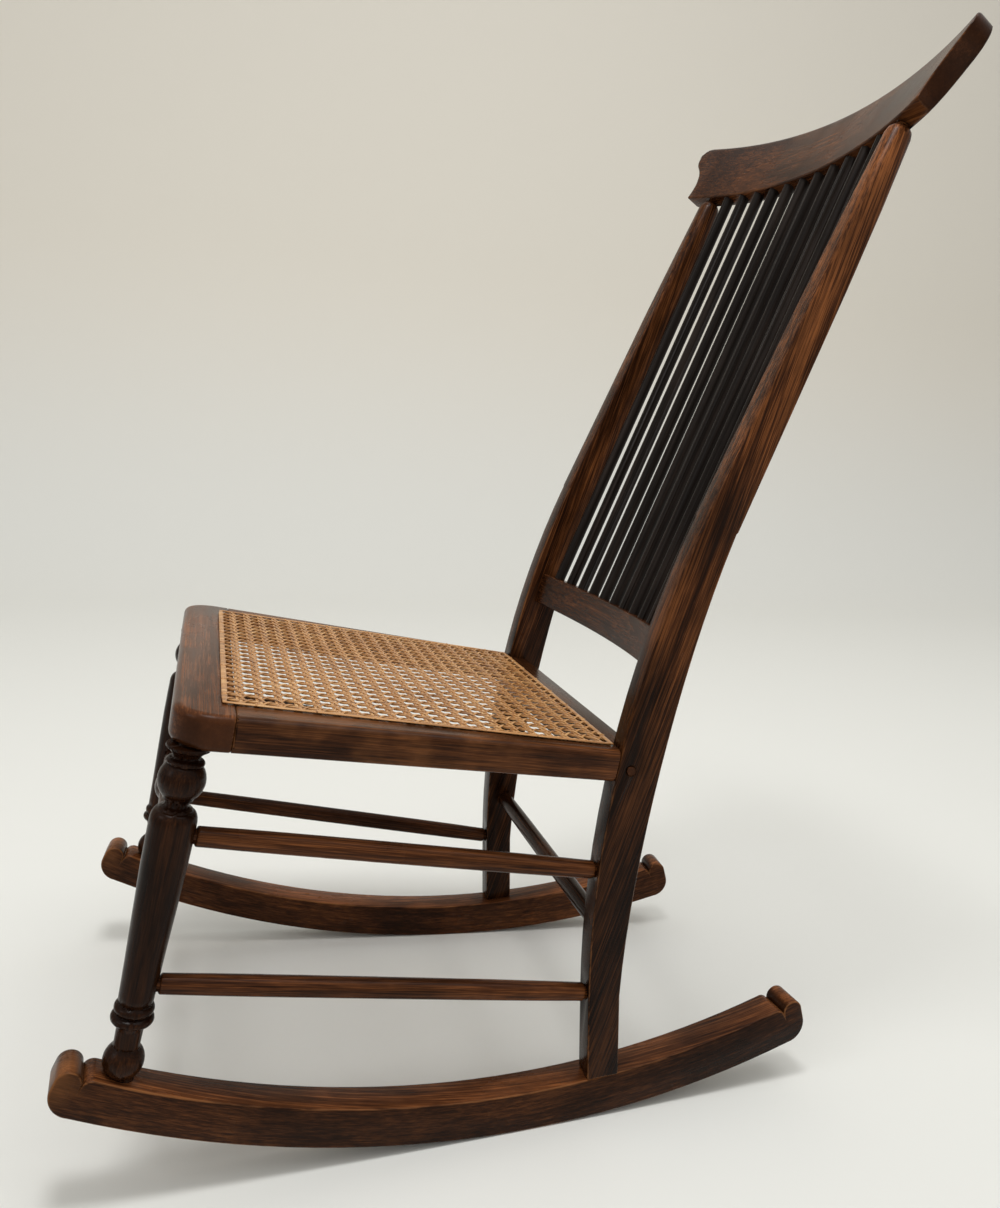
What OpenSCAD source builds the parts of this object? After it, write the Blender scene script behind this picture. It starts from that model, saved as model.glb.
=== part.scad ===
// Nursing rocking chair with a caned seat and a bowed spindle back.
// +Z is up, the sitter faces -Y, and the sitter's left is +X.
// The origin is under the middle of the chair, on the floor.

/* [Rockers] */
// Radius that the underside of a rocker rolls on
roll_r = 938; // [880:1:1000]
// Depth of a rocker at the point where it rests
rocker_h = 38.5; // [34:0.5:46]
// Distance of the centre of the top curve in front of that of the underside
rocker_skew = 8; // [0:0.5:12]
// Thickness of a rocker
rocker_t = 32.5; // [27:0.5:38]
// Half the distance between the outer faces where the rockers rest
rocker_x = 193.2; // [188:0.2:198]
// Angle by which each rocker turns out towards the front
rocker_toe = 4.05; // [3.5:0.05:4.6]
// Angle by which the chair has rolled forward where it stands in balance
rest_tilt = 3.7; // [2:0.1:5]
// Length from the point of rest to the tip of the front scroll
rocker_front = 462; // [450:1:500]
// Length from the point of rest to the tip of the rear scroll
rocker_rear = 236; // [200:1:300]
// Radius of the scroll at each end of a rocker
scroll_r = 19.5; // [17:0.5:20]
// Thickness of the upright lip of a scroll
lip_d = 21; // [20.5:0.5:24]
// Height of a scroll's lip above the rocker's top
lip_rise = 2.5; // [1:0.5:5]
// Radius to which the rocker's top rounds down behind a scroll's lip
groove_r = 9; // [7:0.5:11]
// Depth of the groove behind a scroll's lip
groove_depth = 6.5; // [4:0.5:6.5]

/* [Back posts] */
// Thickness of a back post across the chair
post_t = 24.4; // [21:0.2:28]
// Half the distance between the outer faces of the posts at the floor
post_x = 194; // [190:0.5:198]
// Angle by which each post leans towards the middle
post_lean = 0.34; // [0:0.02:0.8]
// Distance of the front of a post's foot from the point of rest
post_foot_y = -5; // [-15:1:5]
// Depth of a post at its foot
post_foot_d = 31; // [28:0.5:36]
// Swelling of a post behind the seat
post_swell = 9.5; // [6:0.5:12]
// Depth of a post where its curve ends
post_neck_d = 33; // [30:0.5:37]
// Height where the curve of a post begins
post_curve_h = 120; // [100:2:140]
// Radius of the front curve of a post
post_curve_r = 1000; // [900:10:1200]
// Rake of the straight upper part of a post
post_rake = 26.3; // [24:0.1:29]
// Height of a post under the crest rail
post_h = 902; // [860:1:940]
// Diameter of the round top of a post
post_top_d = 24; // [20:0.5:24.4]
// Depth of a post where its edges begin to round off
post_round_d = 27.5; // [25:0.5:30]
// Length of a post's round top
post_round_l = 150; // [110:5:180]

/* [Front legs] */
// Half the distance between the axes of the front legs
leg_x = 206; // [202:0.5:210]
// Distance of a front leg's foot in front of the point of rest
leg_y = 409.5; // [400:0.5:415]
// Rearward rake of a front leg
leg_rake = 13.9; // [12.5:0.1:14.5]
// Diameter of the shoulder of a front leg
leg_shoulder_d = 36.5; // [34:0.5:39]
// Diameter of the shaft above the ring of a front leg
leg_shaft_d = 27.5; // [25:0.5:31]
// Diameter of the ball under the seat
leg_ball_d = 37; // [33:0.5:39]
// Diameter of the ring above the foot
leg_ring_d = 34; // [32:0.5:37]
// Diameter of the ball foot
leg_foot_d = 32.5; // [30:0.5:35]
// Diameter of the tenons at both ends of a front leg
leg_tenon_d = 16; // [13:0.5:18]
// Distance of the shoulder's widest place below the seat
leg_shoulder_set = 62; // [59:0.5:66]

/* [Seat frame] */
// Height of the seat's top where it meets the posts
seat_h = 358; // [345:1:372]
// Fall of the seat towards the back
seat_tilt = 11.7; // [10.5:0.1:12.5]
// Depth of the seat from its front edge to the posts
seat_depth = 385; // [381:1:396]
// Width of the seat at its front edge
seat_front_w = 454; // [448:1:462]
// Thickness of the seat frame
seat_t = 30; // [26:0.5:32]
// Width of the front seat rail
front_rail_w = 48; // [44:0.5:54]
// Width of a side seat rail at its front end
side_rail_w = 44; // [38:0.5:48]
// Width of the rear seat rail
rear_rail_w = 36; // [30:0.5:38]
// Distance of the rear seat rail's front edge in front of the posts
rear_rail_set = 14.3; // [10:0.1:18]
// Corner radius of the front seat rail
seat_corner_r = 33; // [26:1:36]
// Rounding of the seat frame's outer edges
seat_edge_r = 7; // [4:0.5:9]
// Distance of the cane's line of holes from the inner edge of the frame
hole_inset = 9; // [7:0.5:11]
// Thickness of the woven cane
cane_t = 1.6; // [1.2:0.1:2.2]
// Pitch of the open net of the cane
net_pitch = 21.4; // [20.5:0.1:26]
// Width of the gaps of the net
net_gap = 15; // [11:0.5:17]
// Width of the binding strip over the holes
binder_w = 5; // [4:0.2:6]
// Thickness of the binding strip
binder_t = 1; // [0.8:0.1:1.5]
// Diameter of the pegs that lock the seat into the posts
peg_d = 8; // [6:0.5:9]
// Height of a peg's head above the post
peg_proud = 0.8; // [0.3:0.1:1.5]

/* [Back] */
// Radius of the bow of the crest rail and of the lower rail
bow_r = 770; // [650:10:1000]
// Height of the lower rail's top edge at the posts
back_rail_h = 460; // [440:1:480]
// Distance of the lower rail behind the front of the posts
back_rail_set = 11; // [9:0.5:13]
// Tilt of the lower rail
back_rail_tilt = 17.5; // [16:0.1:20]
// Height of the lower rail
back_rail_w = 36; // [30:0.5:42]
// Thickness of the lower rail
back_rail_t = 18; // [16:0.5:20]
// Tilt of the crest rail
crest_tilt = 36; // [33:0.2:38]
// Height of the crest rail
crest_w = 80; // [70:1:90]
// Thickness of the crest rail at its lower edge
crest_t = 17; // [16:0.5:19]
// Swelling of the crest rail's rear face
crest_swell = 4; // [2:0.5:6]
// Distance of the crest rail's middle in front of the middle of the posts' tops
crest_lead = 1.5; // [0:0.5:2]
// Half length of the crest rail's lower edge
crest_lug_x = 213; // [206:1:220]
// Half length of the crest rail at its ears
crest_ear_x = 239; // [232:1:246]
// Radius of the ears of the crest rail
crest_ear_r = 19; // [14:0.5:22]
// Radius of the hollow between lug and ear
crest_hollow_r = 48; // [40:1:60]
// Number of spindles
spindles = 11; // [9:1:11]
// Diameter of a spindle
spindle_d = 12; // [10:0.2:14]
// Distance from spindle to spindle
spindle_gap = 28.6; // [26:0.2:29.4]
// Diameter of the tenons of a spindle
spindle_tenon_d = 9; // [7:0.5:9.5]

/* [Stretchers] */
// Diameter of a side stretcher at its middle
stretcher_d = 18; // [16:0.5:20]
// Diameter of a side or rear stretcher beside its tenons
stretcher_neck_d = 16.5; // [14.5:0.5:17]
// Diameter of the tenons of the stretchers
stretcher_end_d = 12.5; // [11:0.5:13.5]
// Height of the upper side stretcher at the front leg
upper_front_h = 332; // [318:1:334]
// Height of the upper side stretcher at the back post
upper_rear_h = 243; // [230:1:255]
// Height of the lower side stretcher at the front leg
lower_front_h = 210; // [205:1:216]
// Height of the lower side stretcher at the back post
lower_rear_h = 122.5; // [115:0.5:135]
// Height of the turned front stretcher
front_stretcher_h = 262; // [250:1:275]
// Diameter of the bulbs of the front stretcher
bulb_d = 27; // [22:0.5:30]
// Distance between the bulbs of the front stretcher
bulb_gap = 92; // [80:1:100]
// Height of the rear stretcher's axis
rear_stretcher_h = 175; // [165:1:190]
// Distance of the rear stretcher's axis behind the front of the posts
rear_stretcher_set = 21; // [16:0.5:23]

/* [Joints] */
// Clearance all round a tenon in its hole
fit = 0.15; // [0.1:0.05:0.3]
// Length of the round tenons
tenon_l = 18; // [14:0.5:19]
// Length of the short tenons in the inner faces of the posts
stub_l = 9; // [7:0.5:10]
// Thickness of the flat tenons
tenon_t = 8; // [6:0.5:8.5]

/* [Hidden] */
wood = "#4b2a1b";
dark_wood = "#1f1714";
cane_colour = "#c3924a";
// Facets of a true circle, of a turned profile and of a rounded edge
round_fn = 96;
edge_fn = 24;
// Room for the cutting bodies, beyond any piece of the chair
far = 600;

// Rockers: angles are measured at the rolling centre, from straight down, + to the rear
rock_centre = [0, roll_r];
top_r = norm([rocker_skew, roll_r - rocker_h]);
// The scrolls stand just proud of the underside, so that the two curves cross cleanly
scroll_proud = 0.15;
nose_reach = roll_r - scroll_r + scroll_proud;
front_nose = -asin((rocker_front - scroll_r) / nose_reach);
rear_nose = asin((rocker_rear - scroll_r) / nose_reach);
function polar(r, a) = rock_centre + r * [sin(a), -cos(a)];
function top_reach(a) = -rocker_skew * sin(a) + sqrt(pow(top_r, 2) - pow(rocker_skew * cos(a), 2));
function rocker_top(y) = roll_r - sqrt(pow(top_r, 2) - pow(y / cos(rocker_toe) + rocker_skew, 2));

// Back posts, in side view
function post_front(z) = post_foot_y + (z < post_curve_h ? 0
    : post_curve_r - sqrt(pow(post_curve_r, 2) - pow(z - post_curve_h, 2)));
function post_outer_x(z) = post_x - z * tan(post_lean);
function post_inner_x(z) = post_outer_x(z) - post_t;
function post_mid_x(z) = post_outer_x(z) - post_t / 2;
function post_depth(a) = post_foot_d + (post_neck_d - post_foot_d) * a / post_rake
    + post_swell * sin(180 * a / post_rake);
curve_centre = [post_foot_y + post_curve_r, post_curve_h];
function curve_point(a, d) = curve_centre - (post_curve_r - d) * [cos(a), -sin(a)];
curve_steps = 16;
curve_angles = [for (i = [0:curve_steps]) post_rake * i / curve_steps];
neck = curve_point(post_rake, 0);
dome_l = 11;
post_l = (post_h + post_top_d / 2 * sin(post_rake) - neck[1]) / cos(post_rake);
post_top = neck + post_l * [sin(post_rake), cos(post_rake)]
    + post_top_d / 2 * [cos(post_rake), -sin(post_rake)];

// Seat frame, in its own tilted plane: v runs to the rear from the posts' front faces
seat_origin = [post_front(seat_h), seat_h];
seat_along = [cos(seat_tilt), -sin(seat_tilt)];
seat_up = [sin(seat_tilt), cos(seat_tilt)];
seat_rear_x = post_outer_x(seat_h);
function seat_outer_x(v) = seat_rear_x - (seat_front_w / 2 - seat_rear_x) * v / seat_depth;
joint_v = front_rail_w - seat_depth;
function seat_inner_x(v) = seat_rear_x - post_t
    + (seat_outer_x(joint_v) - side_rail_w - seat_rear_x + post_t) * v / joint_v;
hole_front_v = joint_v - hole_inset;
hole_rear_v = hole_inset - rear_rail_set;
function hole_x(v) = seat_inner_x(v) + hole_inset;

// Front legs, from the rocker's top to the underside of the seat
leg_base = [-leg_y, rocker_top(-leg_y)];
leg_dir = [sin(leg_rake), cos(leg_rake)];
leg_l = (-seat_t - (leg_base - seat_origin) * seat_up) / (leg_dir * seat_up);
function leg_point(z) = [leg_x, leg_base[0] + (z - leg_base[1]) * tan(leg_rake), z];

// Bow of the two back rails: drop from the middle at a distance x
function bow_drop(x) = bow_r - sqrt(pow(bow_r, 2) - pow(x, 2));

// Lower back rail: its own frame has u to the rear through its thickness and w up its face
rail_out = [cos(back_rail_tilt), -sin(back_rail_tilt)];
rail_end_x = post_inner_x(back_rail_h);
rail_origin = [post_front(back_rail_h) + back_rail_set, back_rail_h] + bow_drop(rail_end_x) * rail_out;

// Crest rail: its lower edge sits centrally on the posts' tops
crest_out = [cos(crest_tilt), -sin(crest_tilt)];
crest_face = [sin(crest_tilt), cos(crest_tilt)];
crest_origin = post_top + (bow_drop(post_mid_x(post_h)) - crest_t / 2 - crest_lead) * crest_out;
crest_edge_r = 11;
crest_back_r = (pow(crest_w / 2, 2) + pow(crest_swell, 2)) / (2 * crest_swell);
crest_chamfer = 6;
crest_top_u = crest_t - 3;

// Spindles: between the middles of the two rails' edges
function spindle_x(i) = (i - (spindles - 1) / 2) * spindle_gap;
spindle_foot = rail_origin + back_rail_t / 2 * rail_out;
spindle_head = crest_origin + crest_t / 2 * crest_out;
function on_bow(p, out, x) = let (q = p - bow_drop(x) * out) [x, q[0], q[1]];

// Where the chair stands: its ends, front and rear, once it has rolled by the rest tilt about the
// rolling centre, the shift that centres it on its origin, and the lift onto the inner lower edges
function rested_y(y, z) = y * cos(rest_tilt) + (roll_r - z) * sin(rest_tilt);
nose_tip = scroll_r * sqrt(1 - pow(cos(rest_tilt) * sin(rocker_toe), 2));
front_end = rested_y((scroll_r - rocker_front) * cos(rocker_toe), roll_r - nose_reach * cos(front_nose))
    - rocker_t * sin(rocker_toe) * cos(rest_tilt) - nose_tip;
crest_corner = crest_origin + crest_face * (crest_w - crest_chamfer) + crest_out
    * (crest_t + crest_swell - crest_back_r + sqrt(pow(crest_back_r, 2) - pow(crest_w / 2 - crest_chamfer, 2)));
rear_end = rested_y(crest_corner[0], crest_corner[1]);
shift_y = -(front_end + rear_end) / 2;
rest_lift = rocker_t * sin(rocker_toe) * sin(rest_tilt);

// Points of an arc
function arc(c, r, a0, a1, n) =
    [for (i = [0:n]) c + r * [cos(a0 + (a1 - a0) * i / n), sin(a0 + (a1 - a0) * i / n)]];

// Placing helpers
module placed() {
    translate([0, shift_y, rest_lift + roll_r]) rotate([rest_tilt, 0, 0])
        translate([0, 0, -roll_r]) children();
}
module on_left() {
    placed() children();
}
module on_right() {
    placed() mirror([1, 0, 0]) children();
}
// Draws a side outline (y, z) as a slab from x = 0 to x = t
module slab(t) {
    rotate([90, 0, 90]) linear_extrude(t) children();
}
module along(p, q) {
    d = q - p;
    translate(p) rotate([0, acos(d[2] / norm(d)), atan2(d[1], d[0])]) children();
}
module rocker_frame() {
    translate([rocker_x, 0, 0]) rotate([0, 0, rocker_toe]) translate([-rocker_t, 0, 0]) children();
}
module post_frame() {
    translate([post_x, 0, 0]) rotate([0, -post_lean, 0]) translate([-post_t, 0, 0]) children();
}
module seat_frame() {
    translate([0, seat_origin[0], seat_origin[1]]) rotate([-seat_tilt, 0, 0]) children();
}
module leg_frame() {
    translate([leg_x, leg_base[0], leg_base[1]]) rotate([-leg_rake, 0, 0]) children();
}
// A rail's frame: y is u, through the thickness, and z is w, up the face
module rail_frame() {
    translate([0, rail_origin[0], rail_origin[1]]) rotate([-back_rail_tilt, 0, 0]) children();
}
module crest_frame() {
    translate([0, crest_origin[0], crest_origin[1]]) rotate([-crest_tilt, 0, 0]) children();
}

// Everything above the top curve of the rockers, for feet that stand on it
module above_rocker(gap) {
    rocker_frame() translate([-far / 2, -rocker_skew, roll_r]) rotate([0, 90, 0])
        cylinder(h = far, r = top_r - gap, $fn = 360);
}

// Tenons, drawn with a clearance c when they cut their holes
module leg_foot_tenon(c) {
    leg_frame() translate([0, 0, -tenon_l - c])
        cylinder(h = tenon_l + 6, d = leg_tenon_d + 2 * c, $fn = round_fn);
}
module leg_top_tenon(c) {
    leg_frame() translate([0, 0, leg_l - 6])
        cylinder(h = tenon_l + 6 + c, d = leg_tenon_d + 2 * c, $fn = round_fn);
}
module post_foot_tenon(c) {
    low = rocker_top(0) - tenon_l - c;
    post_frame() translate([(post_t - tenon_t) / 2 - c, post_foot_y + post_foot_d / 4 - c, low])
        cube([tenon_t + 2 * c, post_foot_d / 2 + 2 * c, tenon_l + 8]);
}
module post_top_tenon(c) {
    post_frame() translate([post_t / 2, neck[0], neck[1]]) rotate([-post_rake, 0, 0])
        translate([0, post_top_d / 2, post_l - 4])
            cylinder(h = tenon_l + 4 + c, d = tenon_t + 1.5 + 2 * c, $fn = round_fn);
}
side_tenon_w = seat_t - 10;
module side_rail_tenon(c) {
    seat_frame() translate([seat_rear_x - 4 - tenon_t - c, -4, -seat_t / 2 - side_tenon_w / 2 - c])
        cube([tenon_t + 2 * c, 4 + tenon_l + c, side_tenon_w + 2 * c]);
}
module front_joint_tenon(c) {
    side = seat_outer_x(joint_v) - side_rail_w + 6;
    seat_frame() translate([side - c, joint_v - tenon_l - c, -seat_t / 2 - tenon_t / 2 - c])
        cube([front_tenon_w + 2 * c, tenon_l + 4 + c, tenon_t + 2 * c]);
}
front_tenon_w = 18;
rear_tenon_v = 9;
module rear_rail_tenon(c) {
    low = -seat_t / 2 - side_tenon_w / 2;
    seat_frame() translate([post_inner_x(seat_h) - 4, rear_tenon_v - c, low - c])
        cube([4 + stub_l + c, tenon_t + 2 * c, side_tenon_w + 2 * c]);
}
module back_rail_tenon(c) {
    front = (back_rail_t - tenon_t) / 2 - bow_drop(rail_end_x);
    rail_frame() translate([rail_end_x - 4, front - c, -back_rail_w + 6 - c])
        cube([4 + stub_l + c, tenon_t + 2 * c, back_rail_w - 12 + 2 * c]);
}

// Stretchers: from the leg's axis to the front face of the post
function at_post(z) = [post_mid_x(z), post_front(z), z];
function unit(d) = d / norm(d);
past_axis = 4;
function front_tip(zf, zr) = leg_point(zf) - past_axis * unit(at_post(zr) - leg_point(zf));
function rear_tip(zf, zr) = at_post(zr) + tenon_l * unit(at_post(zr) - leg_point(zf));
module side_stretcher(zf, zr) {
    p = front_tip(zf, zr);
    q = rear_tip(zf, zr);
    leg_r = shaft_r(lookup(((zf - leg_base[1]) / cos(leg_rake) - shaft_t) / (shoulder_t - shaft_t), shaft_swell));
    color(wood) along(p, q)
        rod(norm(q - p), past_axis + leg_r + leg_gap, tenon_l + post_gap);
}
module upper_stretcher() {
    side_stretcher(upper_front_h, upper_rear_h);
}
module lower_stretcher() {
    side_stretcher(lower_front_h, lower_rear_h);
}
// A rod that swells between the rounded shoulders at its tenons, of lengths e0 and e1
leg_gap = 1;
post_gap = 1.9;
shoulder_round = 2;
module rod(l, e0, e1) {
    n = 10;
    function swell(i) = stretcher_neck_d / 2
        + (stretcher_d - stretcher_neck_d) / 2 * (1 - pow(2 * i / n - 1, 4));
    body_l = l - e0 - e1 - 2 * shoulder_round;
    neck_r = stretcher_neck_d / 2 - shoulder_round;
    rotate_extrude($fn = round_fn)
        polygon(concat([[0, 0], [stretcher_end_d / 2, 0], [stretcher_end_d / 2, e0]],
            arc([neck_r, e0 + shoulder_round], shoulder_round, -90, 0, 4),
            [for (i = [1:n - 1]) [swell(i), e0 + shoulder_round + body_l * i / n]],
            arc([neck_r, l - e1 - shoulder_round], shoulder_round, 0, 90, 4),
            [[stretcher_end_d / 2, l - e1], [stretcher_end_d / 2, l], [0, l]]));
}
function rear_stretcher_end(s) = [s * (post_inner_x(rear_stretcher_h) + stub_l),
    post_front(rear_stretcher_h) + rear_stretcher_set, rear_stretcher_h];
// The straight bore of a stretcher's end
module stretcher_bore(p, q, depth) {
    along(p, q) translate([0, 0, -fit])
        cylinder(h = depth + fit, d = stretcher_end_d + 2 * fit, $fn = round_fn);
}

module rocker_sector() {
    reach = 1.25 * roll_r;
    polygon([rock_centre, polar(reach, front_nose), polar(reach, (front_nose + rear_nose) / 2),
        polar(reach, rear_nose)]);
}
function reversed(points) = [for (i = [len(points) - 1:-1:0]) points[i]];
// An outline drawn beside the nose at angle a: x out of the rocker's end, y to the rolling centre
module at_nose(a, points) {
    out = sign(a) * [cos(a), sin(a)];
    up = [-sin(a), cos(a)];
    placed_points = [for (p = points) polar(nose_reach, a) + p[0] * out + p[1] * up];
    polygon(a > 0 ? placed_points : reversed(placed_points));
}
lip_x = scroll_r - lip_d;
function top_y(a) = nose_reach - top_reach(a);
module scroll(a) {
    lip_r = lip_d / 2;
    at_nose(a, concat(arc([0, 0], scroll_r, -100, 0, 24),
        arc([lip_x + lip_r, top_y(a) + lip_rise - lip_r], lip_r, 0, 180, 20), [[lip_x, -scroll_r / 4]]));
}
// What is cut away above the rounded end of the top, whose arc ends just inside the lip
module groove(a) {
    overrun = 4;
    end_a = asin(1 - groove_depth / groove_r);
    c = [lip_x - groove_r * cos(end_a), top_y(a) - groove_r + scroll_proud];
    high = top_y(a) + 2 * groove_r;
    low = c[1] + groove_r * sin(end_a - overrun);
    at_nose(a, concat([[scroll_r, low], [scroll_r, high], [c[0], high]],
        arc(c, groove_r, 90, end_a - overrun, 12)));
}
module rocker_outline() {
    difference() {
        intersection() {
            difference() {
                translate(rock_centre) circle(roll_r, $fn = 360);
                translate(rock_centre - [rocker_skew, 0]) circle(top_r, $fn = 360);
            }
            rocker_sector();
        }
        groove(front_nose);
        groove(rear_nose);
    }
    scroll(front_nose);
    scroll(rear_nose);
}
module rocker() {
    color(wood) difference() {
        rocker_frame() slab(rocker_t) rocker_outline();
        leg_foot_tenon(fit);
        post_foot_tenon(fit);
    }
}

// The turned profile of a front leg, by height t above the rocker
ball_t = leg_l - 28;
ball_h = 28;
collar_t = leg_l - 14.5;
shoulder_t = leg_l - leg_shoulder_set;
ring_t = 54.5;
foot_t = 13.5;
bead_h = 8.5;
// The shaft swells from the ring to the shoulder: shares of its length and of its gain in width
shaft_t = ring_t + bead_h + 2.5;
shaft_swell = [[0, 0], [0.25, 0.27], [0.5, 0.6], [0.75, 0.91], [0.9, 0.99]];
function shaft_r(share) = (leg_shaft_d + (leg_shoulder_d - leg_shaft_d) * share) / 2;
function bead(t, h, r, d) = [for (i = [0:8]) let (a = -90 + 180 * i / 8)
    [r + (d / 2 - r) * cos(a), t + h / 2 * sin(a)]];
function barrel(t, h, d) = let (r = d / 2, k = asin(min(1, h / d)))
    [for (i = [0:10]) let (a = -k + 2 * k * i / 10) [r * cos(a), t + r * sin(a)]];
leg_profile = concat(
    [[0, -scroll_r], [leg_foot_d / 2 - 3, -scroll_r]],
    barrel(foot_t, leg_foot_d * 0.76, leg_foot_d),
    [[10.8, foot_t + 12.6], [10.3, foot_t + 14.5], [10.6, ring_t - 14], [12.2, ring_t - bead_h - 1]],
    bead(ring_t - bead_h / 2, bead_h, 12.5, leg_ring_d),
    bead(ring_t + bead_h / 2, bead_h, 12.5, leg_ring_d - 2.5),
    [for (s = shaft_swell) [shaft_r(s[1]), shaft_t + (shoulder_t - shaft_t) * s[0]]],
    [for (i = [0:6]) let (a = 90 * i / 6)
        [13.2 + (leg_shoulder_d / 2 - 13.2) * cos(a), shoulder_t + 10 * sin(a)]],
    [[12.6, shoulder_t + 11.5], [9.4, shoulder_t + 13], [9.4, ball_t - ball_h / 2 - 2.4],
        [11.6, ball_t - ball_h / 2 - 2], [11.6, ball_t - ball_h / 2]],
    barrel(ball_t, ball_h, leg_ball_d),
    bead(collar_t + 1, 6, 11, 30),
    [[10, collar_t + 5], [11, leg_l - 7.5], [14, leg_l - 4.5], [17, leg_l - 2.5],
        [17, leg_l + 2], [0, leg_l + 2]]
);
module front_leg() {
    color(wood) difference() {
        union() {
            difference() {
                intersection() {
                    leg_frame() rotate_extrude($fn = round_fn) polygon(leg_profile);
                    above_rocker(0.1);
                }
                seat_frame() translate([0, -seat_depth - far / 2, -seat_t]) cube([far / 2, far, far]);
            }
            leg_foot_tenon(0);
            leg_top_tenon(0);
        }
        stretcher_bore(front_tip(upper_front_h, upper_rear_h), at_post(upper_rear_h), far / 6);
        stretcher_bore(front_tip(lower_front_h, lower_rear_h), at_post(lower_rear_h), far / 6);
        stretcher_bore(front_stretcher_end(1), front_stretcher_end(-1), far / 6);
    }
}

// The back post: a sawn curve up to the neck, then a straight length that rounds off. The curve
// ends a little inside the straight length, which is a hair wider there.
neck_lap = 1;
neck_step = 0.05;
neck_dir = [sin(post_rake), cos(post_rake)];
post_outline = concat(
    [[post_foot_y + post_foot_d, 0], [post_foot_y, 0]],
    [for (a = curve_angles) curve_point(a, 0)],
    [neck + neck_lap * neck_dir, curve_point(post_rake, post_neck_d) + neck_lap * neck_dir],
    [for (i = [0:curve_steps]) let (a = curve_angles[curve_steps - i]) curve_point(a, post_depth(a))]
);
module round_slice(t, w, d, r) {
    translate([post_t / 2 - w / 2 + r, r, t]) linear_extrude(0.1)
        hull() {
            for (x = [0, w - 2 * r])
                for (y = [0, d - 2 * r])
                    translate([x, y]) circle(r, $fn = edge_fn);
        }
}
module disc_slice(t, d) {
    translate([post_t / 2, post_top_d / 2, t]) cylinder(h = 0.1, d = d, $fn = 32);
}
module back_post() {
    color(wood) difference() {
        union() {
            intersection() {
                post_frame() slab(post_t) polygon(post_outline);
                above_rocker(0.1);
            }
            post_frame() translate([0, neck[0], neck[1]]) rotate([-post_rake, 0, 0]) hull() {
                translate([-neck_step, -neck_step, 0])
                    cube([post_t + 2 * neck_step, post_neck_d + 2 * neck_step, 0.1]);
                round_slice(post_l - post_round_l, post_t, post_round_d, 3);
                round_slice(post_l - post_round_l / 2, post_t - 0.6,
                    (post_round_d + post_top_d) / 2 + 0.3, 7);
                for (rise = [0, 0.45, 0.76, 0.92])
                    disc_slice(post_l - dome_l * (1 - rise), post_top_d * sqrt(1 - rise * rise));
            }
            post_foot_tenon(0);
            post_top_tenon(0);
        }
        side_rail_tenon(fit);
        rear_rail_tenon(fit);
        back_rail_tenon(fit);
        stretcher_bore(rear_stretcher_end(1), rear_stretcher_end(-1), far / 6);
        peg(fit);
        stretcher_bore(rear_tip(upper_front_h, upper_rear_h), leg_point(upper_front_h), far / 6);
        stretcher_bore(rear_tip(lower_front_h, lower_rear_h), leg_point(lower_front_h), far / 6);
    }
}

// Seat rails: v along y, the top face at z = 0 of the seat's frame
module edge_slice(x0, x1, v) {
    translate([0, v, 0]) rotate([90, 0, 0]) linear_extrude(0.1) hull() {
        translate([x0, -seat_t]) square([1, seat_t]);
        translate([x1 - seat_edge_r, -seat_edge_r]) circle(seat_edge_r, $fn = edge_fn);
        translate([x1 - seat_edge_r, seat_edge_r - seat_t]) circle(seat_edge_r, $fn = edge_fn);
    }
}
module corner_puck() {
    r = seat_corner_r - seat_edge_r;
    rotate_extrude($fn = 48) hull() {
        square([0.1, seat_t]);
        translate([r, seat_edge_r]) circle(seat_edge_r, $fn = edge_fn);
        translate([r, seat_t - seat_edge_r]) circle(seat_edge_r, $fn = edge_fn);
        translate([0, 0]) square([r, seat_t]);
    }
}
module front_seat_rail() {
    puck_v = seat_corner_r - seat_depth;
    placed() color(wood) difference() {
        seat_frame() intersection() {
            hull() {
                for (s = [-1, 1])
                    translate([s * (seat_outer_x(puck_v) - seat_corner_r), puck_v, -seat_t]) corner_puck();
                edge_slice(0, seat_outer_x(joint_v), joint_v);
                mirror([1, 0, 0]) edge_slice(0, seat_outer_x(joint_v), joint_v);
            }
            translate([-far / 2, joint_v - far, -far / 2]) cube(far);
        }
        for (s = [0, 1]) mirror([s, 0, 0]) {
            leg_top_tenon(fit);
            front_joint_tenon(fit);
        }
    }
}
module side_seat_rail() {
    rear_v = tenon_l;
    color(wood) difference() {
        union() {
            difference() {
                seat_frame() hull() {
                    edge_slice(seat_inner_x(joint_v), seat_outer_x(joint_v + 0.1), joint_v + 0.1);
                    edge_slice(seat_inner_x(rear_v), seat_outer_x(rear_v), rear_v);
                }
                translate([far / 6, curve_centre[0], curve_centre[1]]) rotate([0, 90, 0])
                    cylinder(h = far / 3, r = post_curve_r + 0.1, $fn = 720);
            }
            side_rail_tenon(0);
            front_joint_tenon(0);
        }
        peg(fit);
    }
}
module rear_seat_rail() {
    end_x = post_inner_x(seat_h);
    placed() color(wood) {
        seat_frame() translate([-end_x, -rear_rail_set, -seat_t]) cube([2 * end_x, rear_rail_w, seat_t]);
        for (s = [0, 1]) mirror([s, 0, 0]) rear_rail_tenon(0);
    }
}

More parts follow.
